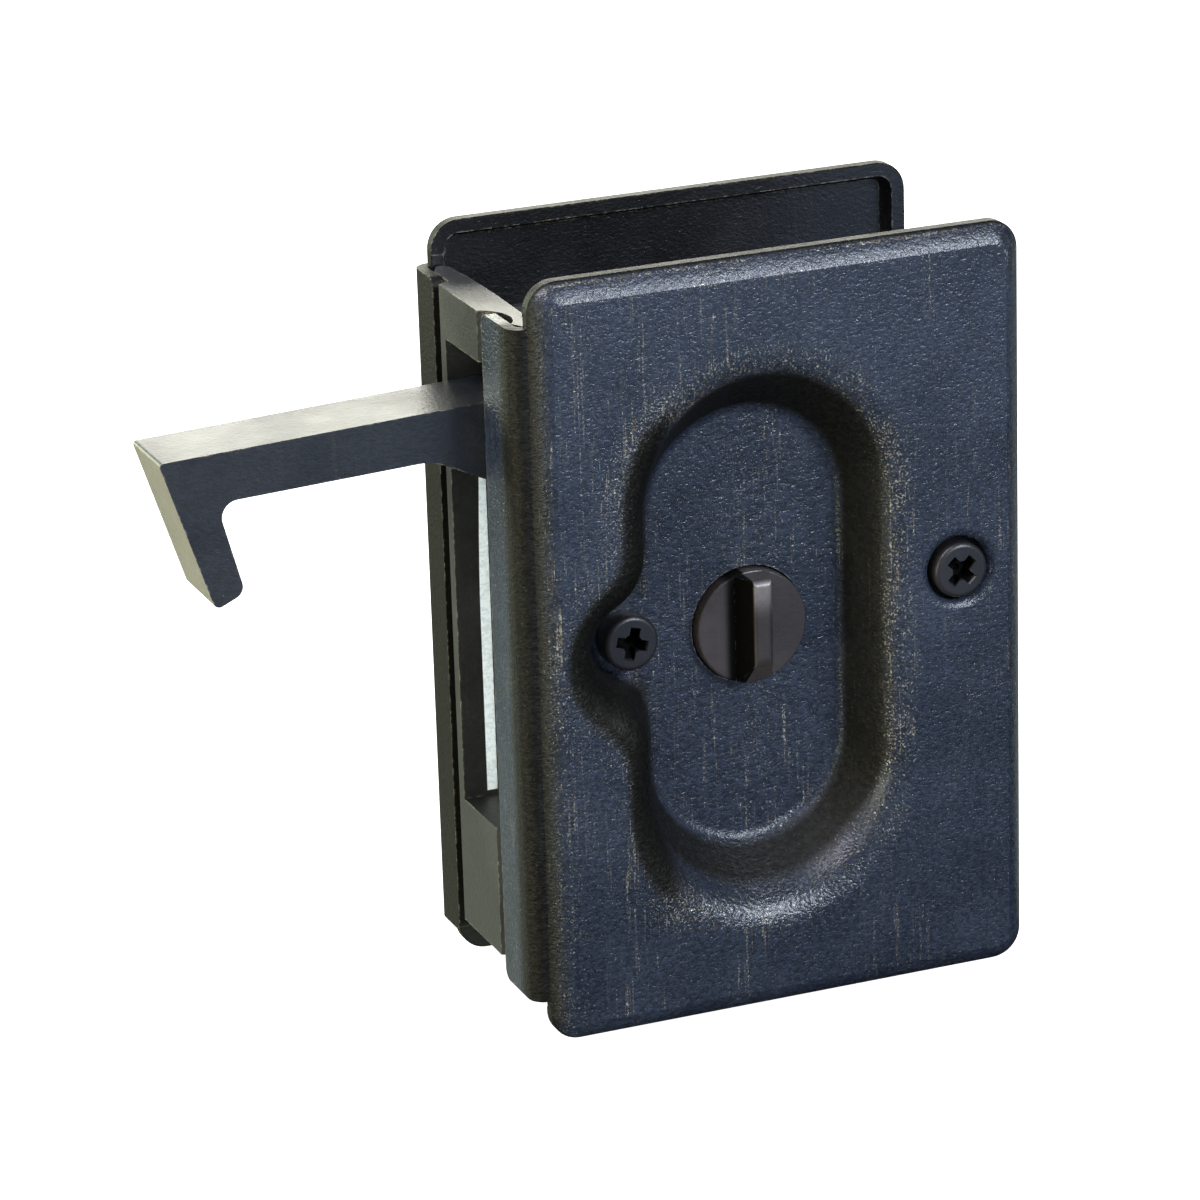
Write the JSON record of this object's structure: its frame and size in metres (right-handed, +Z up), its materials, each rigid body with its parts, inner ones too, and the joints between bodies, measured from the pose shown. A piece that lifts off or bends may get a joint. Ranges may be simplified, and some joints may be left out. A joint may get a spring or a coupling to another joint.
{
  "type": "pocket door privacy lock",
  "caption": "Pocket door privacy lock with pressed flush-cup plates, a thumb turn and a hook lever that folds flush into the edge channel.",
  "frame": {"origin": "Centre of the plates' width and height, on the door's front face, where the front plate's rim bears.", "axes": "+X across the plates away from the door's edge, +Y through the door from the front plate to the back plate, +Z up; the hook lever leaves at -X."},
  "size_m": [0.0908, 0.0324, 0.0826],
  "materials": {
    "plate_bronze": "aged bronze, rubbed at the edges",
    "channel_bronze": "cast, rubbed aged bronze",
    "lever_bronze": "cast, rubbed aged bronze",
    "turn_bronze": "aged bronze",
    "zinc_steel": "bright zinc plate",
    "bare_steel": "turned steel",
    "spring_steel": "hardened spring steel",
    "screw_bronze": "steel with an aged bronze coating"
  },
  "bodies": {
    "front_half": {"front_plate": "plate_bronze", "edge_channel": "channel_bronze", "front_cheek": "zinc_steel", "rear_cheek": "zinc_steel", "cheek_rivets": "zinc_steel", "cheek_spacer": "zinc_steel", "lever_pivot_pin": "bare_steel", "pivot_washers": "zinc_steel", "stop_pin": "bare_steel", "friction_washer": "spring_steel", "left_screw": "screw_bronze", "right_screw": "screw_bronze"},
    "lever": {"hook_lever": "lever_bronze", "tail_pin": "bare_steel"},
    "link": {"drive_link": "zinc_steel"},
    "turn": {"thumb_turn": "turn_bronze", "crank": "zinc_steel", "crank_pin": "bare_steel"},
    "back_half": {"back_plate": "plate_bronze", "screw_posts": "bare_steel"},
    "coin_drive": {"coin_turn": "turn_bronze", "coin_turn_ring": "zinc_steel", "flat_bar": "zinc_steel"}
  },
  "joints": [
    {"name": "lever_swing", "type": "hinge", "parent": "front_half", "child": "lever", "pos_m": [-0.0221, 0.01275, 0.0208], "axis": [0, -1, 0], "range_deg": [0, 87.5]},
    {"name": "link_swing", "type": "hinge", "parent": "lever", "child": "link", "pos_m": [-0.0141, 0.01275, 0.02102], "axis": [0, -1, 0], "range_deg": [-87.5, 0]},
    {"name": "turn_spin", "type": "hinge", "parent": "front_half", "child": "turn", "pos_m": [-0.00055, 0.012, -0.0005], "axis": [0, -1, 0], "range_deg": [0, 87.5]},
    {"name": "back_slide", "type": "slide", "parent": "front_half", "child": "back_half", "axis": [0, 1, 0], "range_m": [0, 0.009]},
    {"name": "coin_spin", "type": "hinge", "parent": "back_half", "child": "coin_drive", "pos_m": [-0.00055, 0.0207, -0.0005], "axis": [0, -1, 0], "range_deg": [0, 87.5]}
  ],
  "couplings": [
    {"joint": "link_swing", "follows": "lever_swing", "ratio": -1},
    {"joint": "turn_spin", "follows": "lever_swing", "ratio": 1},
    {"joint": "coin_spin", "follows": "lever_swing", "ratio": 1}
  ]
}
